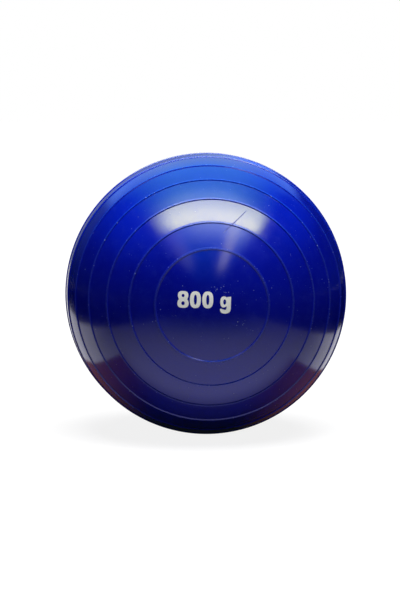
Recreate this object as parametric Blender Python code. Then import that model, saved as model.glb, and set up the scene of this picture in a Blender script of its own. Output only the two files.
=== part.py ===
"""Sand-filled throwing ball: a ribbed shell, its filler plug and the sand inside.

Metres, +Z up. The origin is the ball's centre. The marked pole faces -Y and the
filler neck is at the rear pole, on +Y. Every piece is turned about the Y axis,
from a profile of (radius, y) points.
"""

import math

import bmesh
import bpy
from mathutils import Vector

MM = 0.001

# The ball
SKIN_RADIUS = 50.0 * MM            # outside of the plain skin between the ribs
WALL = 4.0 * MM                    # moulded wall under that skin

# Grip ribs, raised rings that are spaced from the equator towards both poles
RIB_PITCH = math.radians(11.25)    # from one rib to the next, seen from the centre
RIB_WIDTH = 1.1 * MM               # across the foot
RIB_CREST = 0.55 * MM              # across the flat top, between two sloped sides
RIB_HEIGHT = 0.3 * MM              # crest above the skin
BAND_DIP = 0.075 * MM              # midway between two ribs the skin lies this far inside the round
POLE_PANEL = math.radians(22.5)    # half angle of the plain round panel at each pole

# Filler neck, moulded into the wall at the rear pole
BORE_RADIUS = 4.0 * MM
SEAT_RADIUS = 8.0 * MM             # recess that takes the plug's head
SEAT_DEPTH = 2.4 * MM              # ball's rearmost point to the recess's floor
NECK_WALL = 5.0 * MM               # material round the bore
NECK_RISE = 4.0 * MM               # how far the neck reaches in past the wall
NECK_FILLET = 1.2 * MM             # where the neck grows out of the wall

# Filler plug: a head that lies flush, a stem, and a barb that snaps in behind the neck
FIT_GAP = 0.3 * MM                 # plug to neck, all round
BARB_LIP = 0.8 * MM                # barb's reach past the bore's wall
BARB_LAND = 0.8 * MM               # full-width part of the barb
BARB_TAPER = 2.6 * MM              # lead-in that opens the bore
NOSE_RADIUS = 2.4 * MM             # small end of the lead-in

# Moulded edges, and the room that the settled sand keeps to the wall and the plug
EDGE_ROUND = 0.4 * MM
FILL_GAP = 0.3 * MM

# Smoothness
TURN_STEPS = 48                    # facets round the Y axis
ROUND_POINTS = 3                   # on each rounded edge
SKIN_STEP = math.radians(4.5)      # longest step along the outside
INNER_STEP = math.radians(11.0)    # longest step along the inside
MERGE_DISTANCE = 0.001 * MM

# Places that more than one piece is made to
INNER_RADIUS = SKIN_RADIUS - WALL
SEAT_FLOOR = SKIN_RADIUS - SEAT_DEPTH
NECK_RADIUS = BORE_RADIUS + NECK_WALL
NECK_END = INNER_RADIUS - NECK_RISE
BARB_RADIUS = BORE_RADIUS + BARB_LIP
BARB_TOP = NECK_END - FIT_GAP
NOSE_END = BARB_TOP - BARB_LAND - BARB_TAPER


def clear_scene():
    for obj in list(bpy.data.objects):
        bpy.data.objects.remove(obj, do_unlink=True)


def principled(name, colour, roughness, metallic=0.0):
    material = bpy.data.materials.new(name)
    material.use_nodes = True
    shader = material.node_tree.nodes["Principled BSDF"]
    shader.inputs["Base Color"].default_value = (*colour, 1.0)
    shader.inputs["Roughness"].default_value = roughness
    shader.inputs["Metallic"].default_value = metallic
    return material


def shell_pvc():
    return principled("royal_blue_pvc", (0.001, 0.006, 0.32), 0.18)


def plug_pvc():
    return principled("plug_pvc", (0.001, 0.005, 0.27), 0.32)


def dry_sand():
    return principled("dry_sand", (0.56, 0.44, 0.29), 0.95)


def meridian(radius, angle):
    """Point of a round outline, its angle counted from the marked pole."""
    return (radius * math.sin(angle), -radius * math.cos(angle))


def even_angles(start, end, longest_step):
    """Angles from start to end, both included, in equal steps."""
    steps = max(1, math.ceil(abs(end - start) / longest_step))
    return [start + (end - start) * step / steps for step in range(steps + 1)]


def rim_angle(sphere_radius, ring_radius):
    """Angle from the marked pole of a ring round the rear pole."""
    return math.pi - math.asin(ring_radius / sphere_radius)


def rounded(corners):
    """Points of a profile whose corners are (radius, y, rounding)."""
    points = []
    for index, (radius, y, rounding) in enumerate(corners):
        here = Vector((radius, y))
        if rounding <= 0.0:
            points.append(tuple(here))
            continue
        back = Vector(corners[index - 1][:2]) - here
        ahead = Vector(corners[index + 1][:2]) - here
        half_angle = back.angle(ahead) / 2
        reach = min(rounding / math.tan(half_angle), 0.45 * back.length, 0.45 * ahead.length)
        back.normalize()
        ahead.normalize()
        centre = here + (back + ahead).normalized() * reach / math.cos(half_angle)
        start = (here + back * reach - centre).normalized()
        end = (here + ahead * reach - centre).normalized()
        arc_radius = reach * math.tan(half_angle)
        for step in range(ROUND_POINTS):
            direction = start.slerp(end, step / (ROUND_POINTS - 1))
            points.append(tuple(centre + direction * arc_radius))
    return points


def rib_angles():
    """Angles of the rib crests, from the front panel to the rear one."""
    ribs_each_side = int((math.pi / 2 - POLE_PANEL) / RIB_PITCH + 0.001)
    return [math.pi / 2 + rib * RIB_PITCH for rib in range(-ribs_each_side, ribs_each_side + 1)]


def rib_top(crest_angle):
    """The flat top of a rib, from one edge to the other."""
    half_width = RIB_CREST / 2 / SKIN_RADIUS
    radius = SKIN_RADIUS + RIB_HEIGHT
    return [meridian(radius, crest_angle - half_width), meridian(radius, crest_angle + half_width)]


def band(start, end, dip):
    """The skin from one rib's foot to the next, inside the round outline by the dip midway."""
    points = []
    for angle in even_angles(start, end, SKIN_STEP):
        across = (2 * angle - start - end) / (end - start)
        points.append(meridian(SKIN_RADIUS - dip * (1 - across * across), angle))
    return points


def ribbed_outside(end_angle):
    """The ball's outline over all its ribs, from the marked pole to the filler seat."""
    foot = RIB_WIDTH / 2 / SKIN_RADIUS
    crests = rib_angles()
    points = band(0.0, crests[0] - foot, 0.0)
    for crest, following in zip(crests, crests[1:]):
        points += rib_top(crest)
        points += band(crest + foot, following - foot, BAND_DIP)
    points += rib_top(crests[-1])
    points += band(crests[-1] + foot, end_angle, 0.0)
    return points


def wall_inside(radius, ring_radius):
    """The inside from the neck's root, at ring_radius, back to the marked pole."""
    angles = even_angles(rim_angle(radius, ring_radius), 0.0, INNER_STEP)
    return [(*meridian(radius, angle), 0.0) for angle in angles]


def shell_profile():
    """Outside, filler seat, bore, neck and inside, in one line from pole to pole."""
    outside = ribbed_outside(rim_angle(SKIN_RADIUS, SEAT_RADIUS))
    corners = [(radius, y, 0.0) for radius, y in outside]
    rim_radius, rim_y, _ = corners[-1]
    corners[-1] = (rim_radius, rim_y, EDGE_ROUND)
    corners += [
        (SEAT_RADIUS, SEAT_FLOOR, 0.0),
        (BORE_RADIUS, SEAT_FLOOR, EDGE_ROUND),
        (BORE_RADIUS, NECK_END, EDGE_ROUND),
        (NECK_RADIUS, NECK_END, EDGE_ROUND),
    ]
    inside = wall_inside(INNER_RADIUS, NECK_RADIUS)
    root_radius, root_y, _ = inside[0]
    inside[0] = (root_radius, root_y, NECK_FILLET)
    return rounded(corners + inside)


def plug_profile():
    """Domed head, stem and barb, from the ball's rearmost point in to the nose."""
    head_radius = SEAT_RADIUS - FIT_GAP
    stem_radius = BORE_RADIUS - FIT_GAP
    head_floor = SEAT_FLOOR + FIT_GAP
    dome = even_angles(math.pi, rim_angle(SKIN_RADIUS, head_radius), SKIN_STEP / 2)
    corners = [(*meridian(SKIN_RADIUS, angle), 0.0) for angle in dome]
    rim_radius, rim_y, _ = corners[-1]
    corners[-1] = (rim_radius, rim_y, EDGE_ROUND)
    corners += [
        (head_radius, head_floor, 0.0),
        (stem_radius, head_floor, 0.0),
        (stem_radius, BARB_TOP, 0.0),
        (BARB_RADIUS, BARB_TOP, EDGE_ROUND / 2),
        (BARB_RADIUS, BARB_TOP - BARB_LAND, 0.0),
        (NOSE_RADIUS, NOSE_END, EDGE_ROUND),
        (0.0, NOSE_END, 0.0),
    ]
    return rounded(corners)


def sand_profile():
    """The settled fill, with a pocket round the neck and a deeper one round the barb."""
    fill_radius = INNER_RADIUS - FILL_GAP
    neck_pocket = NECK_RADIUS + FILL_GAP
    neck_floor = NECK_END - FILL_GAP
    barb_pocket = BARB_RADIUS + FILL_GAP
    barb_floor = NOSE_END - FILL_GAP
    outside = wall_inside(fill_radius, neck_pocket)
    mouth_radius, mouth_y, _ = outside[0]
    outside[0] = (mouth_radius, mouth_y, NECK_FILLET - FILL_GAP)
    pocket = [
        (0.0, barb_floor, 0.0),
        (barb_pocket, barb_floor, 0.0),
        (barb_pocket, neck_floor, 0.0),
        (neck_pocket, neck_floor, 0.0),
    ]
    return rounded(pocket + outside)


def turned(name, profile, material):
    """A solid of revolution about the Y axis, from a line that ends on that axis twice."""
    mesh = bpy.data.meshes.new(name)
    shape = bmesh.new()
    line = [shape.verts.new((radius, y, 0.0)) for radius, y in profile]
    edges = [shape.edges.new(pair) for pair in zip(line, line[1:])]
    bmesh.ops.spin(
        shape, geom=line + edges, axis=(0.0, 1.0, 0.0), cent=(0.0, 0.0, 0.0),
        angle=2 * math.pi, steps=TURN_STEPS, use_merge=True,
    )
    bmesh.ops.remove_doubles(shape, verts=shape.verts, dist=MERGE_DISTANCE)
    bmesh.ops.recalc_face_normals(shape, faces=shape.faces)
    shape.to_mesh(mesh)
    shape.free()
    mesh.shade_smooth()
    mesh.set_sharp_from_angle(angle=math.radians(32.0))
    mesh.materials.append(material)
    piece = bpy.data.objects.new(name, mesh)
    bpy.context.collection.objects.link(piece)
    return piece


def shell():
    return turned("shell", shell_profile(), shell_pvc())


def filler_plug():
    return turned("filler_plug", plug_profile(), plug_pvc())


def sand_fill():
    return turned("sand_fill", sand_profile(), dry_sand())


def main():
    clear_scene()
    ball_centre = bpy.data.objects.new("ball_centre", None)
    bpy.context.collection.objects.link(ball_centre)
    for piece in (shell(), filler_plug(), sand_fill()):
        piece.parent = ball_centre


main()
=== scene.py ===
"""Looks of the sand-filled throwing ball.

A finer ribbed shell, its filler plug and the printed weight mark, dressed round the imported
model. Metres, +Z up. The ball's centre is the origin, its marked pole faces -Y and its
filler plug +Y. The camera stands a little to the left of that pole and a little above it.
"""

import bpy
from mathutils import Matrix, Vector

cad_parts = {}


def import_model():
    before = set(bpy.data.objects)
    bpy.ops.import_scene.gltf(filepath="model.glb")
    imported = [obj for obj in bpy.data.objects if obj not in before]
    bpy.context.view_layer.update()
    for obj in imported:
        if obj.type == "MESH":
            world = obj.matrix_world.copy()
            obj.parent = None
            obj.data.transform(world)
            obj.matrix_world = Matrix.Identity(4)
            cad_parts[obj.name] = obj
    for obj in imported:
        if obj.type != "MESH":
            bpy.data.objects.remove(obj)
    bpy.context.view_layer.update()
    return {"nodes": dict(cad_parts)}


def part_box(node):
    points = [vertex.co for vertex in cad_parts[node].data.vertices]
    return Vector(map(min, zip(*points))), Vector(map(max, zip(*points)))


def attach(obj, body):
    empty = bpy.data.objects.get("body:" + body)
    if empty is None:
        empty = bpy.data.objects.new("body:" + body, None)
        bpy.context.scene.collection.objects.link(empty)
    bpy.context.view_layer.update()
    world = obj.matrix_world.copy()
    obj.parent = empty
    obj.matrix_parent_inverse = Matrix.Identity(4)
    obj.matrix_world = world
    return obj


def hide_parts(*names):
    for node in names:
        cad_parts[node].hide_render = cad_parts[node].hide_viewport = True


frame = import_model()

import math

import bmesh
import bpy
from mathutils import Matrix, Vector

MM = 0.001
FULL_TURN = 2 * math.pi

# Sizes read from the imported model
SHELL_LOW, SHELL_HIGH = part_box("shell")
SKIN_RADIUS = -SHELL_LOW.y
CREST_RADIUS = SHELL_HIGH.x
FLOOR_HEIGHT = SHELL_LOW.z
NOSE_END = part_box("filler_plug")[0].y

# Ribs and bands, as the solids have them
RIB_PITCH = math.radians(11.25)    # from one rib to the next, seen from the centre
RIB_WIDTH = 1.1 * MM               # across the foot
RIB_CREST = 0.55 * MM              # across the flat top
BAND_DIP = 0.075 * MM              # midway between two ribs the skin lies this far inside the round
POLE_PANEL = math.radians(22.5)    # half angle of the plain round panel at each pole

# Wall, filler neck and plug, as the solids have them
WALL = 4.0 * MM
BORE_RADIUS = 4.0 * MM
SEAT_RADIUS = 8.0 * MM
SEAT_DEPTH = 2.4 * MM
NECK_WALL = 5.0 * MM
NECK_RISE = 4.0 * MM
NECK_FILLET = 1.2 * MM
FIT_GAP = 0.3 * MM
BARB_LIP = 0.8 * MM
BARB_LAND = 0.8 * MM
NOSE_RADIUS = 2.4 * MM
EDGE_ROUND = 0.4 * MM

# The gate mark in the middle of the plug's head, which only the looks have
GATE_RADIUS = 1.5 * MM
GATE_DEPTH = 0.2 * MM

# The printed weight mark, as arcs on the ball counted from its pole
MARK_CAP_HEIGHT = 5.65 * MM
MARK_PITCH = 4.15 * MM             # from one figure's middle to the next
MARK_LEFT = -11.75 * MM
MARK_UNIT_LEFT = 2.5 * MM
MARK_BASELINE = -0.62 * MM
MARK_ROLL = math.radians(-0.9)
INK_PROUD = 0.01 * MM
INK_SUNK = 0.03 * MM
INK_FACE = 0.4 * MM                # longest edge of the film's faces
INK_SPLITS = 6                     # rounds in which its longer edges are halved

# Marks of use on the front, at (x, z) places
SCRATCH_START = (12.7 * MM, 31.8 * MM)
SCRATCH_END = (3.3 * MM, 23.7 * MM)
SCRATCH_HALF_WIDTH = 0.15 * MM
SCUFFS = (
    ((-21.6 * MM, 14.0 * MM), 1.6 * MM),
    ((-15.7 * MM, 8.8 * MM), 1.2 * MM),
    ((0.5 * MM, 5.7 * MM), 2.2 * MM),
    ((4.6 * MM, 5.9 * MM), 2.6 * MM),
    ((19.8 * MM, 6.3 * MM), 1.4 * MM),
    ((-17.0 * MM, -2.0 * MM), 1.8 * MM),
    ((-12.6 * MM, -2.6 * MM), 1.3 * MM),
    ((9.2 * MM, -5.6 * MM), 2.2 * MM),
    ((12.4 * MM, -8.4 * MM), 1.8 * MM),
)

# Fineness of the turned meshes
TURN_STEPS = 288
CREST_ROWS = 1                     # from the middle of a rib to its crest's edge
SIDE_ROWS = 1                      # down a rib's side
BAND_ROWS = 6                      # from a rib's foot to midway between two ribs
PLUG_STEPS = 96
ROUND_POINTS = 6
INNER_STEP = math.radians(4.5)
DOME_STEP = math.radians(1.0)
SHARP_ANGLE = math.radians(30.0)
MERGE_DISTANCE = 0.0005 * MM

# Relief of the surfaces, and the plug's tooling rings and worn rim
PVC_RELIEF = 0.004 * MM
PLUG_RELIEF = 0.010 * MM
INK_RELIEF = 0.008 * MM
GRAIN_RELIEF = 0.15 * MM
TOOLING_PITCH = 0.45 * MM
PLUG_WEAR_START = 6.9 * MM
PLUG_WEAR_FULL = 7.6 * MM

# Colours of the moulded PVC, deep and clear under its gloss, and where it is used
PVC_DEEP = (0.0005, 0.0028, 0.245)
PVC_CLEAR = (0.0008, 0.0042, 0.28)
PVC_HAZE = (0.004, 0.010, 0.275)
# Rubbed rib crests: painted shade low on the ball and painted light high up; the rubbing itself is wear
RUBBED_PAINTED_SHADE = (0.012, 0.024, 0.30)
RUBBED_PAINTED_LIGHT = (0.004, 0.042, 0.50)
DUST = (0.22, 0.28, 0.50)
SCRATCHED = (0.008, 0.012, 0.10)

# Colours of the plug, the ink and the sand
PLUG_DEEP = (0.0010, 0.0115, 0.33)
PLUG_CLEAR = (0.0040, 0.0210, 0.41)
PLUG_WORN = (0.020, 0.070, 0.52)
PLUG_DUST = (0.42, 0.50, 0.74)
INK_DULL = (0.89, 0.90, 0.83)
INK_CLEAN = (0.95, 0.95, 0.89)
INK_THIN = (0.20, 0.25, 0.50)
SAND_BROWN = (0.44, 0.32, 0.19)
SAND_PALE = (0.68, 0.57, 0.41)
SAND_DARK = (0.12, 0.09, 0.07)
SAND_DAMP = (0.36, 0.27, 0.17)

# The photograph's view of the ball
FRAME_WIDTH_PX = 400
FRAME_HEIGHT_PX = 600
BALL_CENTRE_PX = (206.0, 293.4)
BALL_RADIUS_PX = 139.9
CAMERA_AZIMUTH = math.radians(-2.5)
CAMERA_ELEVATION = math.radians(5.05)
CAMERA_DISTANCE = 14.5 * SKIN_RADIUS
SENSOR = 36.0

# The studio
LAMP_PLACE = (0.08, -0.27, 1.08)
LAMP_SIZE = (0.8, 0.8)
LAMP_RADIANCE = 11.0
WORLD_WHITE = 0.938                # added to the fill for the camera and for reflections
WORLD_FILL = 0.062
FLOOR_RADIUS = 30.0
FLOOR_DROP = 0.02 * MM             # under the ball's lowest point
FLOOR_GREY = (0.18, 0.18, 0.18, 1.0)
WHITE = (1.0, 1.0, 1.0, 1.0)
NO_LIGHT = (0.0, 0.0, 0.0)

# The softbox, from front to rear and from end to end
SOFTBOX_SIZE = (1.63, 0.37, 1.0)
SOFTBOX_CENTRE = (0.043, -0.280, 1.0)
SOFTBOX_DEPTH = (-0.35, -0.17)
SOFTBOX_LEVELS = (19.6, 11.3)
SOFTBOX_LEFT_END = (-0.80, -0.38)
SOFTBOX_RIGHT_END = (0.66, 0.88)
SOFTBOX_FRONT = (0.96, 0.97, 0.51)
SOFTBOX_REAR = (0.92, 1.03, 0.57)
SOFTBOX_ENDS = (0.72, 0.90, 1.0)

# The low sheet, glowing with the painted light of a lit floor, and the ball's painted shadow on it. An
# edge is where it starts and where it ends.
SHEET_RADIUS = 1.9
SHEET_DROP = 0.01 * MM             # under the ball's lowest point
SHEET_RIGHT_EDGE = (0.133, 0.143)
SHEET_LEFT_EDGE = (-0.168, -0.152)
SHEET_FRONT_EDGE = (-0.27, -0.09)
SHEET_COOL = (0.72, 0.90, 1.10)
SHEET_WHITE = (1.00, 0.99, 1.08)
# Painted blue light on the sheet close to the ball
SHEET_PAINTED_BLUE_LIGHT = (1.02, 1.02, 2.0)
# The ball's painted shadow: its edges, painted blue light in front, its dark core and its warm sides
PAINTED_SHADOW_RIGHT_EDGE = (0.069, 0.071)
PAINTED_SHADOW_LEFT_EDGE = (-0.0775, -0.0755)
PAINTED_SHADOW_FRONT_EDGE = (-0.0430, -0.0290)
PAINTED_SHADOW_BLUE_LIGHT = (0.045, 0.045, 0.30)
PAINTED_SHADOW_CORE = (0.006, 0.008, 0.01)
PAINTED_SHADOW_WARM_SIDES = (0.26, 0.09, 0.07)

# The tent and the colours of its light
TENT_RADIUS = 2.0
TENT_DARK = (0.004, 0.010, 0.020)
TENT_BLUE = (0.0, 0.15, 3.0)
CEILING_NEAR = (2.2, 4.7, 5.9)
CEILING_FRONT = (0.66, 3.0, 4.8)
CEILING_MIDDLE = (0.34, 1.5, 3.5)
CEILING_REAR = (0.58, 1.02, 1.4)
CEILING_FAR = (0.44, 0.60, 0.58)
CEILING_SIDES = (0.02, 0.35, 2.6)
REAR_WALL = (0.27, 0.31, 0.44)
FRINGE_BLUE = (0.0, 0.7, 3.4)
FRINGE_WARM = (4.4, 5.3, 2.2)
REAR_LEFT = (0.08, 0.15, 0.18)

# Streaks of light on the tent: lean from upright, half width, y where it starts and where it is
# full, colour low down and high up
STREAKS = (
    (0.37, 0.14, -1.90, -1.69, (4.6, 4.2, 3.5), (3.9, 3.3, 0.6)),
    (-0.51, 0.20, -1.85, -1.58, (1.1, 1.0, 0.6), (0.95, 0.6, 0.15)),
)


def feed(tree, socket, value):
    """Link a socket to an input, or set the input to a plain value."""
    if isinstance(value, bpy.types.NodeSocket):
        tree.links.new(value, socket)
    else:
        socket.default_value = value


def number(tree, operation, *values):
    """A Math node on sockets or plain numbers. Returns its result socket."""
    node = tree.nodes.new("ShaderNodeMath")
    node.operation = operation
    for socket, value in zip(node.inputs, values):
        feed(tree, socket, value)
    return node.outputs[0]


def total(tree, first, *others):
    """The sum of these values, each a socket or a plain number."""
    for value in others:
        first = number(tree, "ADD", first, value)
    return first


def product(tree, first, *others):
    """The product of these values, each a socket or a plain number."""
    for value in others:
        first = number(tree, "MULTIPLY", first, value)
    return first


def less(tree, first, second):
    """The first value less the second."""
    return number(tree, "SUBTRACT", first, second)


def share_of(tree, first, second):
    """The first value as a share of the second."""
    return number(tree, "DIVIDE", first, second)


def away(tree, value, centre):
    """How far a value is from a centre, either way."""
    return number(tree, "ABSOLUTE", less(tree, value, centre))


def length_of(tree, x, y):
    """The length of a flat vector."""
    return number(tree, "SQRT", total(tree, product(tree, x, x), product(tree, y, y)))


def apart(tree, vector):
    """The X, Y and Z of a vector."""
    node = tree.nodes.new("ShaderNodeSeparateXYZ")
    feed(tree, node.inputs[0], vector)
    return node.outputs["X"], node.outputs["Y"], node.outputs["Z"]


def ramp(tree, value, low, high, from_value=0.0, to_value=1.0, way="SMOOTHSTEP"):
    """A change from one value to another while the input goes from low to high, smooth or steady."""
    node = tree.nodes.new("ShaderNodeMapRange")
    node.interpolation_type = way
    settings = {
        "Value": value, "From Min": low, "From Max": high, "To Min": from_value, "To Max": to_value}
    for name, setting in settings.items():
        feed(tree, node.inputs[name], setting)
    return node.outputs["Result"]


def steady(tree, value, low, high, from_value=0.0, to_value=1.0):
    """A change in a straight line."""
    return ramp(tree, value, low, high, from_value, to_value, "LINEAR")


def blend_colour(tree, factor, first, second, mode="MIX"):
    """A mix of two colours, each a socket or a plain (red, green, blue)."""
    node = tree.nodes.new("ShaderNodeMix")
    node.data_type = "RGBA"
    node.blend_type = mode
    feed(tree, node.inputs["Factor"], factor)
    for socket, colour in ((node.inputs["A"], first), (node.inputs["B"], second)):
        feed(tree, socket, colour if isinstance(colour, bpy.types.NodeSocket) else (*colour, 1.0))
    return node.outputs["Result"]


def placed(name, data):
    """Link a new object that holds this data."""
    thing = bpy.data.objects.new(name, data)
    bpy.context.collection.objects.link(thing)
    return thing


def geometry_tree(name, inputs):
    """An empty Geometry Nodes tree with named inputs, given as (name, socket type)."""
    tree = bpy.data.node_groups.new(name, "GeometryNodeTree")
    tree.interface.new_socket("Geometry", in_out="INPUT", socket_type="NodeSocketGeometry")
    for input_name, socket_type in inputs:
        tree.interface.new_socket(input_name, in_out="INPUT", socket_type=socket_type)
    tree.interface.new_socket("Geometry", in_out="OUTPUT", socket_type="NodeSocketGeometry")
    return tree, tree.nodes.new("NodeGroupInput"), tree.nodes.new("NodeGroupOutput")


def through(tree, geometry, node, **settings):
    """Send a geometry through a node whose other inputs are set. Returns what comes out."""
    feed(tree, node.inputs["Geometry"], geometry)
    for name, value in settings.items():
        feed(tree, node.inputs[name], value)
    return node.outputs["Geometry"]


def made_by(tree, name, settings):
    """The plain mesh that a tree makes from these settings."""
    holder = placed(name + "_source", bpy.data.meshes.new(name + "_source"))
    modifier = holder.modifiers.new(name, "NODES")
    modifier.node_group = tree
    for item in tree.interface.items_tree:
        if item.in_out == "INPUT" and item.name in settings:
            modifier[item.identifier] = settings[item.name]
    holder.update_tag()
    bpy.context.view_layer.update()
    evaluated = holder.evaluated_get(bpy.context.evaluated_depsgraph_get())
    mesh = bpy.data.meshes.new_from_object(evaluated)
    bpy.data.objects.remove(holder)
    mesh.name = name
    return mesh


def ribbed_skin_tree():
    """The ball's outside from the marked pole to the filler seat, with its ribs and flat bands.

    A grid is wrapped round the Y axis. Its rows crowd at each rib.
    """
    tree, given, result = geometry_tree("ribbed_skin", [
        ("Skin Radius", "NodeSocketFloat"),
        ("Rib Pitch", "NodeSocketFloat"),
        ("Rib Width", "NodeSocketFloat"),
        ("Rib Crest", "NodeSocketFloat"),
        ("Rib Height", "NodeSocketFloat"),
        ("Band Dip", "NodeSocketFloat"),
        ("Pole Panel", "NodeSocketFloat"),
        ("Rim Angle", "NodeSocketFloat"),
        ("Turn Steps", "NodeSocketInt"),
        ("Crest Rows", "NodeSocketInt"),
        ("Side Rows", "NodeSocketInt"),
        ("Band Rows", "NodeSocketInt"),
        ("Material", "NodeSocketMaterial"),
    ])
    size = given.outputs

    # Rows are counted from the middle of a rib to midway between two ribs
    rows_to_foot = total(tree, size["Crest Rows"], size["Side Rows"])
    rows_per_pitch = product(tree, total(tree, rows_to_foot, size["Band Rows"]), 2.0)
    pitches = share_of(tree, math.pi, size["Rib Pitch"])
    rows = number(tree, "ROUND", product(tree, pitches, rows_per_pitch))
    grid = tree.nodes.new("GeometryNodeMeshGrid")
    grid.inputs["Size X"].default_value = 1.0
    grid.inputs["Size Y"].default_value = 1.0
    feed(tree, grid.inputs["Vertices X"], total(tree, size["Turn Steps"], 1.0))
    feed(tree, grid.inputs["Vertices Y"], total(tree, rows, 1.0))
    across, along, _ = apart(tree, tree.nodes.new("GeometryNodeInputPosition").outputs[0])
    turn = product(tree, total(tree, across, 0.5), FULL_TURN)
    cell = product(tree, total(tree, along, 0.5), pitches)

    # Shares of a pitch, from the middle of a rib to its crest's edge and to its foot
    pitch_length = product(tree, size["Skin Radius"], size["Rib Pitch"])
    to_edge = share_of(tree, product(tree, size["Rib Crest"], 0.5), pitch_length)
    to_foot = share_of(tree, product(tree, size["Rib Width"], 0.5), pitch_length)
    edge_row = share_of(tree, size["Crest Rows"], rows_per_pitch)
    foot_row = share_of(tree, rows_to_foot, rows_per_pitch)
    nearest = number(tree, "ROUND", cell)
    off_row = less(tree, cell, nearest)
    share = number(tree, "ABSOLUTE", off_row)
    off_rib = total(
        tree,
        steady(tree, share, 0.0, edge_row, 0.0, to_edge),
        steady(tree, share, edge_row, foot_row, 0.0, less(tree, to_foot, to_edge)),
        steady(tree, share, foot_row, 0.5, 0.0, less(tree, 0.5, to_foot)),
    )

    # Where the row lies, in pitches from the marked pole
    quarter = share_of(tree, math.pi / 2, size["Rib Pitch"])
    ribbed_part = share_of(tree, less(tree, math.pi / 2, size["Pole Panel"]), size["Rib Pitch"])
    ribs_each_side = number(tree, "FLOOR", total(tree, ribbed_part, 0.001))
    has_rib = number(tree, "LESS_THAN", away(tree, nearest, quarter), total(tree, ribs_each_side, 0.5))
    crowded = total(tree, nearest, product(tree, number(tree, "SIGN", off_row), off_rib))
    spot = total(tree, cell, product(tree, less(tree, crowded, cell), has_rib))
    polar = number(tree, "MINIMUM", product(tree, spot, size["Rib Pitch"]), size["Rim Angle"])

    # The rib's height and the band's dip at that row
    crest = product(tree, steady(tree, off_rib, to_edge, to_foot, 1.0, 0.0), has_rib)
    between_ribs = number(tree, "LESS_THAN", away(tree, spot, quarter), ribs_each_side)
    to_middle = steady(tree, off_rib, to_foot, 0.5, 1.0, 0.0)
    sag = less(tree, 1.0, product(tree, to_middle, to_middle))
    dip = product(tree, sag, between_ribs, size["Band Dip"])
    radius = less(tree, total(tree, size["Skin Radius"], product(tree, crest, size["Rib Height"])), dip)

    ring = product(tree, radius, number(tree, "SINE", polar))
    point = tree.nodes.new("ShaderNodeCombineXYZ")
    feed(tree, point.inputs["X"], product(tree, ring, number(tree, "COSINE", turn)))
    feed(tree, point.inputs["Y"], product(tree, radius, number(tree, "COSINE", polar), -1.0))
    feed(tree, point.inputs["Z"], product(tree, ring, number(tree, "SINE", turn)))

    keep = tree.nodes.new("GeometryNodeStoreNamedAttribute")
    keep.data_type = "FLOAT"
    keep.domain = "POINT"
    move = tree.nodes.new("GeometryNodeSetPosition")
    merge = tree.nodes.new("GeometryNodeMergeByDistance")
    smooth = tree.nodes.new("GeometryNodeSetShadeSmooth")
    realize = tree.nodes.new("GeometryNodeRealizeInstances")
    paint = tree.nodes.new("GeometryNodeSetMaterial")
    skin = through(tree, grid.outputs["Mesh"], keep, Name="crest", Value=crest)
    skin = through(tree, skin, move, Position=point.outputs[0])
    skin = through(tree, skin, merge, Distance=MERGE_DISTANCE)
    skin = through(tree, through(tree, skin, smooth), realize)
    skin = through(tree, skin, paint, Material=size["Material"])
    feed(tree, result.inputs["Geometry"], skin)
    return tree


def principled(name):
    """A material with its Principled shader, and the tree that they are in."""
    material = bpy.data.materials.new(name)
    material.use_nodes = True
    tree = material.node_tree
    return material, tree, tree.nodes["Principled BSDF"]


def on_object(tree, stretch=(1.0, 1.0, 1.0)):
    """Object coordinates. A pattern on them is stretched along an axis whose number is under 1."""
    mapping = tree.nodes.new("ShaderNodeMapping")
    mapping.inputs["Scale"].default_value = stretch
    tree.links.new(tree.nodes.new("ShaderNodeTexCoord").outputs["Object"], mapping.inputs["Vector"])
    return mapping.outputs["Vector"]


def noise(tree, place, per_metre, detail=3.0, roughness=0.55):
    node = tree.nodes.new("ShaderNodeTexNoise")
    node.inputs["Scale"].default_value = per_metre
    node.inputs["Detail"].default_value = detail
    node.inputs["Roughness"].default_value = roughness
    feed(tree, node.inputs["Vector"], place)
    return node.outputs["Fac"]


def scattered(tree, place, per_metre):
    """Cells of a scattered pattern: the distance to a cell's point, and three numbers drawn for it."""
    cells = tree.nodes.new("ShaderNodeTexVoronoi")
    cells.inputs["Scale"].default_value = per_metre
    feed(tree, cells.inputs["Vector"], place)
    lot = tree.nodes.new("ShaderNodeSeparateColor")
    feed(tree, lot.inputs[0], cells.outputs["Color"])
    return cells.outputs["Distance"], lot.outputs["Red"], lot.outputs["Green"], lot.outputs["Blue"]


def specks(tree, place, per_metre, share, size):
    """A mask of scattered dots, some fainter.

    The share is of the cells that hold a dot, and the size is in cells.
    """
    distance, lot, width_lot, strength_lot = scattered(tree, place, per_metre)
    chosen = number(tree, "LESS_THAN", lot, share)
    width = product(tree, width_lot, size)
    dot = ramp(tree, distance, product(tree, width, 0.4), width, 1.0, 0.0)
    return product(tree, chosen, dot, steady(tree, strength_lot, 0.0, 1.0, 0.15, 1.0))


def scratch(tree, place, start, end, half_width):
    """A mask of a straight scratch on the front half, between two (x, z) places."""
    x, y, z = apart(tree, place)
    along = Vector(end) - Vector(start)
    length = along.length
    along.normalize()
    dx = less(tree, x, start[0])
    dz = less(tree, z, start[1])
    run = total(tree, product(tree, dx, along.x), product(tree, dz, along.y))
    off = away(tree, product(tree, dx, along.y), product(tree, dz, along.x))
    line = ramp(tree, off, half_width * 0.4, half_width, 1.0, 0.0)
    ends = product(
        tree, ramp(tree, run, 0.0, length * 0.15), ramp(tree, run, length * 0.8, length, 1.0, 0.0))
    return product(tree, line, ends, number(tree, "LESS_THAN", y, 0.0))


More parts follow.
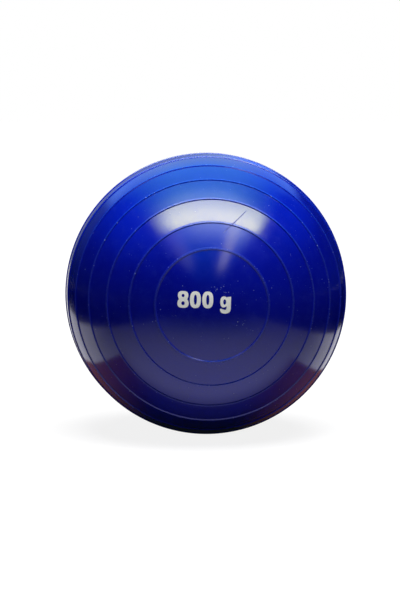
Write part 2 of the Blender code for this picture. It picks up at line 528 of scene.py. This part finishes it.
def scuff(tree, place, centre, radius):
    """A soft round mask on the front half, about an (x, z) place."""
    x, y, z = apart(tree, place)
    off = length_of(tree, less(tree, x, centre[0]), less(tree, z, centre[1]))
    front = number(tree, "LESS_THAN", y, 0.0)
    return product(tree, ramp(tree, off, 0.3 * radius, radius, 1.0, 0.0), front)


def bumpy(tree, shader, height, depth):
    """Give a shader the small relief of a height that goes from 0 to 1 over this depth."""
    bump = tree.nodes.new("ShaderNodeBump")
    bump.inputs["Distance"].default_value = depth
    feed(tree, bump.inputs["Height"], height)
    feed(tree, shader.inputs["Normal"], bump.outputs["Normal"])


def pvc_dust(tree, place, crest, cloudy):
    """A mask of dust: scattered and gathered in clouds, on the ribs, and in the scuffs."""
    gathered = ramp(tree, cloudy, 0.40, 0.62, 0.25, 1.0)
    loose = total(tree, specks(tree, place, 560.0, 0.22, 0.12), specks(tree, place, 1300.0, 0.16, 0.24))
    on_ribs = product(tree, specks(tree, place, 1000.0, 0.5, 0.36), crest)
    scuffs = 0.0
    for centre, radius in SCUFFS:
        scuffs = number(tree, "MAXIMUM", scuffs, scuff(tree, place, centre, radius))
    in_scuffs = product(tree, scuffs, specks(tree, place, 1900.0, 0.6, 0.5))
    return number(
        tree, "MINIMUM", total(tree, product(tree, loose, gathered), on_ribs, in_scuffs), 1.0)


def pvc_material():
    """Glossy moulded PVC, cloudy under its gloss, rubbed on the ribs, with dust and a scratch, and
    painted light on the rubbed crests.
    """
    material, tree, shader = principled("royal_blue_pvc")
    place = on_object(tree)
    crest = tree.nodes.new("ShaderNodeAttribute")
    crest.attribute_name = "crest"
    crest = crest.outputs["Fac"]
    broad = noise(tree, place, 55.0, 3.0)
    cloudy = noise(tree, place, 330.0, 5.0, 0.68)
    fine = noise(tree, place, 1700.0, 2.0, 0.6)
    wiped = noise(tree, on_object(tree, (0.35, 1.0, 1.0)), 3000.0, 2.0, 0.7)
    dust = pvc_dust(tree, place, crest, cloudy)
    line = scratch(tree, place, SCRATCH_START, SCRATCH_END, SCRATCH_HALF_WIDTH)

    colour = blend_colour(tree, ramp(tree, broad, 0.36, 0.64), PVC_DEEP, PVC_CLEAR)
    veil = total(tree, product(tree, cloudy, 0.6), product(tree, fine, 0.4))
    colour = blend_colour(tree, ramp(tree, veil, 0.48, 0.66, 0.0, 0.55), colour, PVC_HAZE)
    # Painted light: rubbed rib crests are painted paler and bluer towards the top, and darker low down
    painted_top_light = ramp(tree, apart(tree, place)[2], 0.2 * SKIN_RADIUS, 0.7 * SKIN_RADIUS)
    rubbed = product(tree, crest, ramp(tree, fine, 0.34, 0.60, 0.35, 0.80))
    colour = blend_colour(tree, rubbed, colour, blend_colour(tree, painted_top_light, RUBBED_PAINTED_SHADE, RUBBED_PAINTED_LIGHT))
    colour = blend_colour(tree, product(tree, dust, 0.7), colour, DUST)
    colour = blend_colour(tree, product(tree, line, 0.7), colour, SCRATCHED)
    feed(tree, shader.inputs["Base Color"], colour)

    feed(tree, shader.inputs["Roughness"], total(
        tree,
        ramp(tree, wiped, 0.35, 0.65, 0.12, 0.20),
        ramp(tree, cloudy, 0.45, 0.75, 0.0, 0.05),
        product(tree, crest, 0.05),
        product(tree, dust, 0.35),
        product(tree, line, 0.55),
    ))
    ripple = noise(tree, place, 420.0, 1.0, 0.4)
    bumpy(tree, shader, less(tree, ripple, product(tree, line, 4.0)), PVC_RELIEF)
    return material


def plug_material():
    """Satin moulded PVC with fine tooling rings round the gate."""
    material, tree, shader = principled("plug_pvc")
    place = on_object(tree)
    x, _, z = apart(tree, place)
    ring = length_of(tree, x, z)
    rings = number(tree, "SINE", product(tree, ring, FULL_TURN / TOOLING_PITCH))
    cloudy = noise(tree, place, 420.0, 4.0, 0.6)
    colour = blend_colour(tree, ramp(tree, cloudy, 0.35, 0.68), PLUG_DEEP, PLUG_CLEAR)
    at_rim = ramp(tree, ring, PLUG_WEAR_START, PLUG_WEAR_FULL)
    worn = product(tree, at_rim, ramp(tree, cloudy, 0.4, 0.6, 0.1, 0.6))
    colour = blend_colour(tree, worn, colour, PLUG_WORN)
    dust = specks(tree, place, 420.0, 0.06, 0.12)
    colour = blend_colour(tree, product(tree, dust, 0.7), colour, PLUG_DUST)
    feed(tree, shader.inputs["Base Color"], colour)
    satin = ramp(tree, cloudy, 0.35, 0.7, 0.27, 0.38)
    feed(tree, shader.inputs["Roughness"], total(tree, satin, product(tree, dust, 0.3)))
    bumpy(tree, shader, total(tree, product(tree, rings, 0.25), cloudy), PLUG_RELIEF)
    return material


def ink_material():
    """Off-white printed ink, slightly thin in places."""
    material, tree, shader = principled("mark_ink")
    place = on_object(tree)
    patchy = noise(tree, place, 900.0, 3.0, 0.6)
    fine = noise(tree, place, 4200.0, 2.0, 0.6)
    colour = blend_colour(tree, ramp(tree, patchy, 0.35, 0.65), INK_DULL, INK_CLEAN)
    wear = total(tree, product(tree, patchy, 0.6), product(tree, fine, 0.4))
    colour = blend_colour(tree, ramp(tree, wear, 0.60, 0.74, 0.0, 0.5), colour, INK_THIN)
    feed(tree, shader.inputs["Base Color"], colour)
    feed(tree, shader.inputs["Roughness"], ramp(tree, patchy, 0.3, 0.7, 0.38, 0.52))
    bumpy(tree, shader, fine, INK_RELIEF)
    return material


def sand_material():
    """Dry graded sand in several tones, from pale quartz to a few dark grains."""
    material, tree, shader = principled("dry_sand")
    place = on_object(tree)
    distance, tone_lot, dark_lot, sheen_lot = scattered(tree, place, 2200.0)
    damp = noise(tree, place, 120.0, 4.0)
    colour = blend_colour(tree, tone_lot, SAND_BROWN, SAND_PALE)
    colour = blend_colour(tree, ramp(tree, dark_lot, 0.90, 0.94), colour, SAND_DARK)
    colour = blend_colour(tree, ramp(tree, damp, 0.4, 0.7, 0.0, 0.35), colour, SAND_DAMP)
    feed(tree, shader.inputs["Base Color"], colour)
    feed(tree, shader.inputs["Roughness"], steady(tree, sheen_lot, 0.0, 1.0, 0.80, 0.98))
    bumpy(tree, shader, less(tree, 1.0, distance), GRAIN_RELIEF)
    return material


def meridian(radius, angle):
    """Point (ring radius, y) of a round outline, its angle counted from the marked pole."""
    return (radius * math.sin(angle), -radius * math.cos(angle))


def rim_angle(sphere_radius, ring_radius):
    """Angle from the marked pole of a ring round the rear pole."""
    return math.pi - math.asin(ring_radius / sphere_radius)


def even_angles(start, end, longest_step):
    """Angles from start to end, both included, in equal steps."""
    steps = max(1, math.ceil(abs(end - start) / longest_step))
    return [start + (end - start) * step / steps for step in range(steps + 1)]


def rounded(corners):
    """Points of a profile whose corners are (ring radius, y, rounding)."""
    points = []
    for index, (radius, y, rounding) in enumerate(corners):
        here = Vector((radius, y))
        if rounding <= 0.0:
            points.append(tuple(here))
            continue
        back = Vector(corners[index - 1][:2]) - here
        ahead = Vector(corners[index + 1][:2]) - here
        half_angle = back.angle(ahead) / 2
        reach = min(rounding / math.tan(half_angle), 0.45 * back.length, 0.45 * ahead.length)
        back.normalize()
        ahead.normalize()
        centre = here + (back + ahead).normalized() * reach / math.cos(half_angle)
        start = (here + back * reach - centre).normalized()
        end = (here + ahead * reach - centre).normalized()
        for step in range(ROUND_POINTS):
            direction = start.slerp(end, step / (ROUND_POINTS - 1))
            points.append(tuple(centre + direction * reach * math.tan(half_angle)))
    return points


def turn_round(shape, profile, steps):
    """Turn a line of (ring radius, y) points about the Y axis."""
    line = [shape.verts.new((radius, y, 0.0)) for radius, y in profile]
    edges = [shape.edges.new(pair) for pair in zip(line, line[1:])]
    bmesh.ops.spin(
        shape, geom=line + edges, axis=(0.0, 1.0, 0.0), cent=(0.0, 0.0, 0.0),
        angle=FULL_TURN, steps=steps, use_merge=True,
    )


def plain_mesh(name, shape):
    """A mesh from a shape, which is freed."""
    mesh = bpy.data.meshes.new(name)
    shape.to_mesh(mesh)
    shape.free()
    return mesh


def closed_mesh(name, shape, material):
    """A mesh from a closed shape, with its doubles merged and its faces pointing outwards."""
    bmesh.ops.remove_doubles(shape, verts=shape.verts, dist=MERGE_DISTANCE)
    bmesh.ops.recalc_face_normals(shape, faces=shape.faces)
    mesh = plain_mesh(name, shape)
    mesh.shade_smooth()
    mesh.set_sharp_from_angle(angle=SHARP_ANGLE)
    mesh.materials.clear()
    mesh.materials.append(material)
    return mesh


def finished(name, mesh, slot, *nodes):
    """Link a finished mesh as a piece that rides on the ball and stands for these nodes."""
    piece = placed(name, mesh)
    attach(piece, "root")
    if nodes:
        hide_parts(*nodes)


def ribbed_shell():
    """The moulded shell: its ribbed outside, the filler's seat, bore and neck, and its inside."""
    pvc = pvc_material()
    inner_radius = SKIN_RADIUS - WALL
    neck_radius = BORE_RADIUS + NECK_WALL
    neck_end = inner_radius - NECK_RISE
    seat_floor = SKIN_RADIUS - SEAT_DEPTH
    skin_end = rim_angle(SKIN_RADIUS, SEAT_RADIUS + 2 * EDGE_ROUND)
    skin = made_by(ribbed_skin_tree(), "ribbed_skin", {
        "Skin Radius": SKIN_RADIUS,
        "Rib Pitch": RIB_PITCH,
        "Rib Width": RIB_WIDTH,
        "Rib Crest": RIB_CREST,
        "Rib Height": CREST_RADIUS - SKIN_RADIUS,
        "Band Dip": BAND_DIP,
        "Pole Panel": POLE_PANEL,
        "Rim Angle": skin_end,
        "Turn Steps": TURN_STEPS,
        "Crest Rows": CREST_ROWS,
        "Side Rows": SIDE_ROWS,
        "Band Rows": BAND_ROWS,
        "Material": pvc,
    })
    corners = [
        (*meridian(SKIN_RADIUS, skin_end), 0.0),
        (*meridian(SKIN_RADIUS, rim_angle(SKIN_RADIUS, SEAT_RADIUS)), EDGE_ROUND),
        (SEAT_RADIUS, seat_floor, EDGE_ROUND / 2),
        (BORE_RADIUS, seat_floor, EDGE_ROUND),
        (BORE_RADIUS, neck_end, EDGE_ROUND),
        (neck_radius, neck_end, EDGE_ROUND),
    ]
    inside = [(*meridian(inner_radius, angle), 0.0) for angle in even_angles(
        rim_angle(inner_radius, neck_radius), 0.0, INNER_STEP)]
    inside[0] = (*inside[0][:2], NECK_FILLET)
    shape = bmesh.new()
    shape.from_mesh(skin)
    turn_round(shape, rounded(corners + inside), TURN_STEPS)
    mesh = closed_mesh("ribbed_shell", shape, pvc)
    finished("ribbed_shell", mesh, "shell_pvc", "shell")


def filler_plug():
    """The plug's domed head with its gate mark, its stem, and the barb behind the neck."""
    head_radius = SEAT_RADIUS - FIT_GAP
    stem_radius = BORE_RADIUS - FIT_GAP
    barb_radius = BORE_RADIUS + BARB_LIP
    head_floor = SKIN_RADIUS - SEAT_DEPTH + FIT_GAP
    barb_top = SKIN_RADIUS - WALL - NECK_RISE - FIT_GAP
    gate_floor = SKIN_RADIUS - GATE_DEPTH
    gate_rim = rim_angle(SKIN_RADIUS, GATE_RADIUS + GATE_DEPTH)
    dome_start = rim_angle(SKIN_RADIUS, GATE_RADIUS + 2 * EDGE_ROUND)
    dome = even_angles(dome_start, rim_angle(SKIN_RADIUS, head_radius), DOME_STEP)
    corners = [
        (0.0, gate_floor, 0.0),
        (GATE_RADIUS, gate_floor, GATE_DEPTH / 2),
        (*meridian(SKIN_RADIUS, gate_rim), GATE_DEPTH / 2),
    ]
    corners += [(*meridian(SKIN_RADIUS, angle), 0.0) for angle in dome]
    corners[-1] = (*corners[-1][:2], EDGE_ROUND)
    corners += [
        (head_radius, head_floor, EDGE_ROUND / 2),
        (stem_radius, head_floor, EDGE_ROUND / 2),
        (stem_radius, barb_top, EDGE_ROUND / 4),
        (barb_radius, barb_top, EDGE_ROUND / 2),
        (barb_radius, barb_top - BARB_LAND, EDGE_ROUND / 2),
        (NOSE_RADIUS, NOSE_END, EDGE_ROUND),
        (0.0, NOSE_END, 0.0),
    ]
    shape = bmesh.new()
    turn_round(shape, rounded(corners), PLUG_STEPS)
    mesh = closed_mesh("plug", shape, plug_material())
    finished("plug", mesh, "plug_pvc", "filler_plug")


def smooth_loop(points, steps=6):
    """A closed smooth curve through these points, as a list of points."""
    loop = []
    count = len(points)
    for index in range(count):
        before, start, end, after = (
            Vector(points[(index + offset) % count]) for offset in (-1, 0, 1, 2))
        for step in range(steps):
            t = step / steps
            loop.append(0.5 * (
                2 * start + (end - before) * t + (2 * before - 5 * start + 4 * end - after) * t ** 2
                + (3 * start - before - 3 * end + after) * t ** 3))
    return loop


def oval(centre, half_width, half_height, squareness=2.4, points=40):
    """A closed oval, round at a squareness of 2 and boxier above it."""
    loop = []
    for index in range(points):
        angle = FULL_TURN * index / points
        across = math.copysign(abs(math.cos(angle)) ** (2 / squareness), math.cos(angle))
        upward = math.copysign(abs(math.sin(angle)) ** (2 / squareness), math.sin(angle))
        loop.append(Vector((centre[0] + half_width * across, centre[1] + half_height * upward)))
    return loop


def mirrored(half):
    """A closed outline from its right half, given from the bottom to the top about x = 0."""
    return half + [(-x, y) for x, y in reversed(half) if x > 0.0]


def mark_loops():
    """Flat outlines of the characters 8, 0, 0 and g, each a group of its outline and its holes.

    They are drawn in cap heights, about x = 0 or from the unit's left, and returned in metres.
    """
    eight = [(0.0, 0.0), (0.19, 0.02), (0.31, 0.12), (0.34, 0.27), (0.31, 0.42), (0.255, 0.51),
             (0.285, 0.60), (0.315, 0.74), (0.28, 0.90), (0.17, 0.985), (0.0, 1.0)]
    unit = [(0.43, 0.68), (0.40, 0.66), (0.30, 0.71), (0.16, 0.71), (0.05, 0.61), (0.01, 0.40),
            (0.04, 0.19), (0.14, 0.07), (0.27, 0.07), (0.385, 0.12), (0.385, 0.02), (0.34, -0.07),
            (0.26, -0.075), (0.12, -0.03), (0.02, -0.01), (0.01, -0.12), (0.08, -0.24),
            (0.22, -0.30), (0.42, -0.29), (0.58, -0.20), (0.64, -0.04), (0.645, 0.20),
            (0.645, 0.50), (0.645, 0.69), (0.54, 0.69)]
    half_figure = 0.325
    middle = MARK_LEFT + half_figure * MARK_CAP_HEIGHT
    upper_hole = oval((0.0, 0.735), 0.085, 0.095, 2.0)
    lower_hole = oval((0.0, 0.275), 0.10, 0.115, 2.0)
    glyphs = [(middle, [smooth_loop(mirrored(eight)), upper_hole, lower_hole])]
    for place in (middle + MARK_PITCH, middle + 2 * MARK_PITCH):
        outline = oval((0.0, 0.5), half_figure, 0.5, 2.5)
        glyphs.append((place, [outline, oval((0.0, 0.5), 0.09, 0.30, 2.3)]))
    glyphs.append((MARK_UNIT_LEFT, [smooth_loop(unit), oval((0.275, 0.385), 0.085, 0.155, 2.2)]))
    return [
        [[Vector((place + MARK_CAP_HEIGHT * x, MARK_CAP_HEIGHT * y)) for x, y in loop] for loop in loops]
        for place, loops in glyphs
    ]


def flat_mark():
    """The mark's characters as flat faces, fine enough to be wrapped over the ball."""
    flat = bmesh.new()
    for loops in mark_loops():
        edges = []
        for loop in loops:
            verts = [flat.verts.new((x, y, 0.0)) for x, y in loop]
            edges += [flat.edges.new((verts[index - 1], verts[index])) for index in range(len(verts))]
        bmesh.ops.triangle_fill(flat, edges=edges, use_beauty=True, use_dissolve=False)
    for _ in range(INK_SPLITS):
        long_edges = [edge for edge in flat.edges if edge.calc_length() > INK_FACE]
        bmesh.ops.subdivide_edges(flat, edges=long_edges, cuts=1)
        bmesh.ops.triangulate(flat, faces=flat.faces)
    bmesh.ops.remove_doubles(flat, verts=flat.verts, dist=MERGE_DISTANCE)
    flat.verts.index_update()
    return flat


def weight_mark():
    """The plain weight mark, a film of ink that is wrapped over the marked pole."""
    flat = flat_mark()
    roll = Matrix.Rotation(MARK_ROLL, 2)
    film = bmesh.new()
    layers = []
    for radius in (SKIN_RADIUS + INK_PROUD, SKIN_RADIUS - INK_SUNK):
        layer = []
        for vert in flat.verts:
            x, z = roll @ Vector((vert.co.x, vert.co.y + MARK_BASELINE))
            reach = math.hypot(x, z)
            out = radius * math.sin(reach / SKIN_RADIUS) / reach
            ahead = min(radius * math.cos(reach / SKIN_RADIUS), SKIN_RADIUS)
            layer.append(film.verts.new((out * x, -ahead, out * z)))
        layers.append(layer)
    top, bottom = layers
    for face in flat.faces:
        corners = [vert.index for vert in face.verts]
        film.faces.new([top[index] for index in corners])
        film.faces.new([bottom[index] for index in reversed(corners)])
    for edge in flat.edges:
        if edge.is_boundary:
            first, second = (vert.index for vert in edge.verts)
            film.faces.new((top[first], bottom[first], bottom[second], top[second]))
    flat.free()
    mesh = closed_mesh("weight_mark", film, ink_material())
    finished("weight_mark", mesh, "mark_ink")


def sand():
    """The fill keeps its solid and takes a grainy material."""
    frame["nodes"]["sand_fill"].material_slots[0].material = sand_material()


def reflection_card(name, mesh):
    """Make a mesh part of the studio that only glossy reflections see."""
    card = placed(name, mesh)
    card.visible_camera = False
    card.visible_diffuse = False
    card.visible_shadow = False
    card.visible_transmission = False


def flat_disc(name, radius, height):
    """The mesh of a level disc round the Z axis."""
    shape = bmesh.new()
    bmesh.ops.create_circle(shape, cap_ends=True, segments=96, radius=radius)
    bmesh.ops.translate(shape, verts=shape.verts, vec=(0.0, 0.0, height))
    return plain_mesh(name, shape)


def glowing_material(name):
    """An emission material with its tree, its emission node and its X, Y and Z in the object."""
    material = bpy.data.materials.new(name)
    material.use_nodes = True
    tree = material.node_tree
    tree.nodes.remove(tree.nodes["Principled BSDF"])
    glow = tree.nodes.new("ShaderNodeEmission")
    tree.links.new(glow.outputs[0], tree.nodes["Material Output"].inputs["Surface"])
    place = tree.nodes.new("ShaderNodeTexCoord").outputs["Object"]
    return material, tree, glow, apart(tree, place)


def ceiling_strip(tree, x, y, height):
    """The cool strip of ceiling, as its mask and its colour. It is paler to the rear."""
    spread = number(tree, "ABSOLUTE", share_of(tree, x, height))
    behind = share_of(tree, y, height)
    ceiling = blend_colour(tree, ramp(tree, behind, -0.1, 0.55), CEILING_FRONT, CEILING_MIDDLE)
    ceiling = blend_colour(tree, ramp(tree, behind, 0.03, 0.17, 1.0, 0.0), ceiling, CEILING_NEAR)
    ceiling = blend_colour(tree, ramp(tree, behind, 0.6, 1.6), ceiling, CEILING_REAR)
    ceiling = blend_colour(tree, ramp(tree, behind, 1.7, 4.0), ceiling, CEILING_FAR)
    beside = ramp(tree, spread, 0.20, 0.75, 0.0, 0.8)
    beside = product(tree, beside, ramp(tree, behind, 0.6, 1.8, 1.0, 0.70))
    ceiling = blend_colour(tree, beside, ceiling, CEILING_SIDES)
    edge = less(tree, spread, product(tree, ramp(tree, behind, 0.7, 1.6), 0.40))
    strip = product(tree, ramp(tree, edge, 0.55, 0.95, 1.0, 0.0), ramp(tree, behind, -0.10, 0.02))
    return strip, ceiling


def tent_glows(tree, x, y, z, height):
    """Faint lights on the tent, as (mask, colour): its front fringe, its rear side, its streaks."""
    leaning = number(tree, "ARCTAN2", x, height)
    fringe = product(
        tree,
        ramp(tree, leaning, -0.75, -0.42),
        ramp(tree, leaning, 0.42, 0.72, 1.0, 0.0),
        ramp(tree, y, -0.50, -0.25, 1.0, 0.0),
    )
    blue = product(tree, fringe, steady(tree, y, -2.0, -1.2))
    warm = product(tree, fringe, ramp(tree, leaning, -0.60, 0.0), ramp(tree, y, -1.45, -0.85))
    aside = product(
        tree, ramp(tree, y, 1.25, 1.6), ramp(tree, z, 0.0, 1.0), ramp(tree, x, -0.6, 0.0, 1.0, 0.0))
    glows = [(blue, FRINGE_BLUE), (warm, FRINGE_WARM), (aside, REAR_LEFT)]
    for lean, half_width, start, full, low_tint, high_tint in STREAKS:
        streak = product(
            tree,
            ramp(tree, away(tree, leaning, lean), 0.02, half_width, 1.0, 0.0),
            ramp(tree, y, start, full),
            ramp(tree, y, -0.60, -0.35, 1.0, 0.0),
        )
        glows.append((streak, blend_colour(tree, ramp(tree, y, -1.58, -1.42), low_tint, high_tint)))
    return glows


def tent():
    """The dark tent round the ball, with a strip of ceiling, streaks of light and a dim rear wall."""
    shape = bmesh.new()
    bmesh.ops.create_uvsphere(shape, u_segments=96, v_segments=64, radius=TENT_RADIUS)
    mesh = plain_mesh("tent", shape)
    material, tree, glow, (x, y, z) = glowing_material("tent")
    height = number(tree, "MAXIMUM", z, 0.01)
    above = product(tree, ramp(tree, z, 0.5, 1.7), ramp(tree, y, -1.8, -0.7))
    colour = blend_colour(tree, above, TENT_DARK, TENT_BLUE)
    strip, ceiling = ceiling_strip(tree, x, y, height)
    colour = blend_colour(tree, strip, colour, ceiling)
    rear = product(tree, ramp(tree, y, 1.83, 1.93), ramp(tree, x, -0.1, 0.25, 1.0, 0.0))
    colour = blend_colour(tree, rear, colour, REAR_WALL)
    for level, tint in tent_glows(tree, x, y, z, height):
        colour = blend_colour(tree, 1.0, colour, blend_colour(tree, level, NO_LIGHT, tint), "ADD")
    feed(tree, glow.inputs["Color"], colour)
    glow.inputs["Strength"].default_value = 1.0
    mesh.materials.append(material)
    reflection_card("tent", mesh)


def softbox():
    """The soft window of light overhead, a little to the front, as the ball's gloss shows it."""
    shape = bmesh.new()
    bmesh.ops.create_grid(shape, x_segments=1, y_segments=1, size=0.5)
    bmesh.ops.scale(shape, vec=SOFTBOX_SIZE, verts=shape.verts)
    bmesh.ops.translate(shape, vec=SOFTBOX_CENTRE, verts=shape.verts)
    mesh = plain_mesh("softbox", shape)
    material, tree, glow, (x, y, _) = glowing_material("softbox")
    level = ramp(tree, y, *SOFTBOX_DEPTH, *SOFTBOX_LEVELS)
    ends = product(
        tree, ramp(tree, x, *SOFTBOX_LEFT_END, 0.1, 1.0), ramp(tree, x, *SOFTBOX_RIGHT_END, 1.0, 0.1))
    colour = blend_colour(tree, ramp(tree, y, *SOFTBOX_DEPTH), SOFTBOX_FRONT, SOFTBOX_REAR)
    feed(tree, glow.inputs["Color"], blend_colour(tree, ends, SOFTBOX_ENDS, colour))
    feed(tree, glow.inputs["Strength"], product(tree, level, ends))
    mesh.materials.append(material)
    reflection_card("softbox", mesh)


def low_sheet():
    """What the ball's gloss sees below it, a sheet of painted light that darkens away from the ball."""
    mesh = flat_disc("low_sheet", SHEET_RADIUS, FLOOR_HEIGHT - SHEET_DROP)
    material, tree, glow, (x, y, _) = glowing_material("low_sheet")
    reach = length_of(tree, x, total(tree, y, 0.03))
    # Painted light: a pool of light on the sheet, brightest near the ball
    painted_light_pool = ramp(tree, reach, 0.02, 0.16, 0.62, 0.0)
    slant = total(tree, x, product(tree, y, 0.17))
    level = product(
        tree,
        total(tree, painted_light_pool, ramp(tree, y, -0.03, 0.06), 0.32),
        product(tree, ramp(tree, x, *SHEET_RIGHT_EDGE, 1.0, 0.0), ramp(tree, slant, *SHEET_LEFT_EDGE)),
        ramp(tree, y, *SHEET_FRONT_EDGE),
    )
    tint = blend_colour(tree, ramp(tree, y, -0.17, -0.08), SHEET_COOL, SHEET_WHITE)
    # Painted blue light on the sheet close to the ball
    tint = blend_colour(tree, ramp(tree, reach, 0.015, 0.11, 1.0, 0.0), tint, SHEET_PAINTED_BLUE_LIGHT)
    sheet = blend_colour(tree, level, NO_LIGHT, tint)

    # The ball's painted shadow under it, with painted blue light in front, and warm towards its sides
    under = product(
        tree,
        ramp(tree, x, *PAINTED_SHADOW_RIGHT_EDGE, 1.0, 0.0),
        ramp(tree, x, *PAINTED_SHADOW_LEFT_EDGE),
        ramp(tree, y, *PAINTED_SHADOW_FRONT_EDGE),
    )
    dark = blend_colour(tree, ramp(tree, y, -0.028, -0.020), PAINTED_SHADOW_BLUE_LIGHT, PAINTED_SHADOW_CORE)
    spread = number(tree, "ABSOLUTE", total(tree, x, 0.006))
    warm = blend_colour(tree, ramp(tree, spread, 0.015, 0.066), dark, PAINTED_SHADOW_WARM_SIDES)
    feed(tree, glow.inputs["Color"], blend_colour(tree, under, sheet, warm))
    glow.inputs["Strength"].default_value = 1.0
    mesh.materials.append(material)
    reflection_card("low_sheet", mesh)


def seen_rays(tree):
    """1 for rays of the camera and of reflections, 0 for the rays that carry diffuse light."""
    path = tree.nodes.new("ShaderNodeLightPath").outputs
    through_gloss = number(tree, "MAXIMUM", path["Is Glossy Ray"], path["Is Transmission Ray"])
    return number(tree, "MAXIMUM", path["Is Camera Ray"], through_gloss)


def floor():
    """A plain pale floor that keeps the ball's shadow and fades to white away from it."""
    mesh = flat_disc("floor", FLOOR_RADIUS, FLOOR_HEIGHT - FLOOR_DROP)
    material, tree, shader = principled("pale_floor")
    shader.inputs["Base Color"].default_value = FLOOR_GREY
    shader.inputs["Roughness"].default_value = 0.9
    shader.inputs["Specular IOR Level"].default_value = 0.0
    x, y, _ = apart(tree, tree.nodes.new("ShaderNodeTexCoord").outputs["Object"])
    white = ramp(tree, length_of(tree, x, y), 0.15, 0.6, 0.86, 1.0)
    shader.inputs["Emission Color"].default_value = WHITE
    feed(tree, shader.inputs["Emission Strength"], product(tree, white, seen_rays(tree)))
    mesh.materials.append(material)
    sheet = placed("floor", mesh)


def world():
    """White behind the ball for the camera and for reflections, a low grey for diffuse light."""
    studio_world = bpy.data.worlds.new("studio")
    bpy.context.scene.world = studio_world
    studio_world.use_nodes = True
    tree = studio_world.node_tree
    background = tree.nodes["Background"]
    background.inputs["Color"].default_value = WHITE
    strength = total(tree, product(tree, seen_rays(tree), WORLD_WHITE), WORLD_FILL)
    feed(tree, background.inputs["Strength"], strength)


def top_lamp():
    """The soft lamp that lights the ball. The gloss shows the softbox card in its place."""
    width, depth = LAMP_SIZE
    light = bpy.data.lights.new("top_lamp", "AREA")
    light.shape = "RECTANGLE"
    light.size = width
    light.size_y = depth
    light.energy = LAMP_RADIANCE * math.pi * width * depth
    lamp = placed("top_lamp", light)
    lamp.location = LAMP_PLACE
    lamp.visible_camera = False
    lamp.visible_glossy = False
    lamp.rotation_euler = (-Vector(LAMP_PLACE)).to_track_quat("-Z", "Y").to_euler()


def camera():
    """The photograph's camera, aimed at the ball's centre and shifted to where the ball lies."""
    focal_px = BALL_RADIUS_PX * math.sqrt((CAMERA_DISTANCE / SKIN_RADIUS) ** 2 - 1)
    data = bpy.data.cameras.new("camera")
    data.sensor_fit = "VERTICAL"
    data.sensor_height = SENSOR
    data.lens = focal_px * SENSOR / FRAME_HEIGHT_PX
    data.shift_x = (FRAME_WIDTH_PX / 2 - BALL_CENTRE_PX[0]) / FRAME_HEIGHT_PX
    data.shift_y = (BALL_CENTRE_PX[1] - FRAME_HEIGHT_PX / 2) / FRAME_HEIGHT_PX
    data.clip_start = 0.01
    eye = Vector((
        math.sin(CAMERA_AZIMUTH) * math.cos(CAMERA_ELEVATION),
        -math.cos(CAMERA_AZIMUTH) * math.cos(CAMERA_ELEVATION),
        math.sin(CAMERA_ELEVATION),
    )) * CAMERA_DISTANCE
    view = placed("camera", data)
    view.location = eye
    view.rotation_euler = (-eye).to_track_quat("-Z", "Y").to_euler()
    bpy.context.scene.camera = view


def studio():
    world()
    floor()
    tent()
    low_sheet()
    softbox()
    top_lamp()


camera()
studio()
bpy.context.scene.view_settings.view_transform = "Standard"
ribbed_shell()
filler_plug()
weight_mark()
sand()
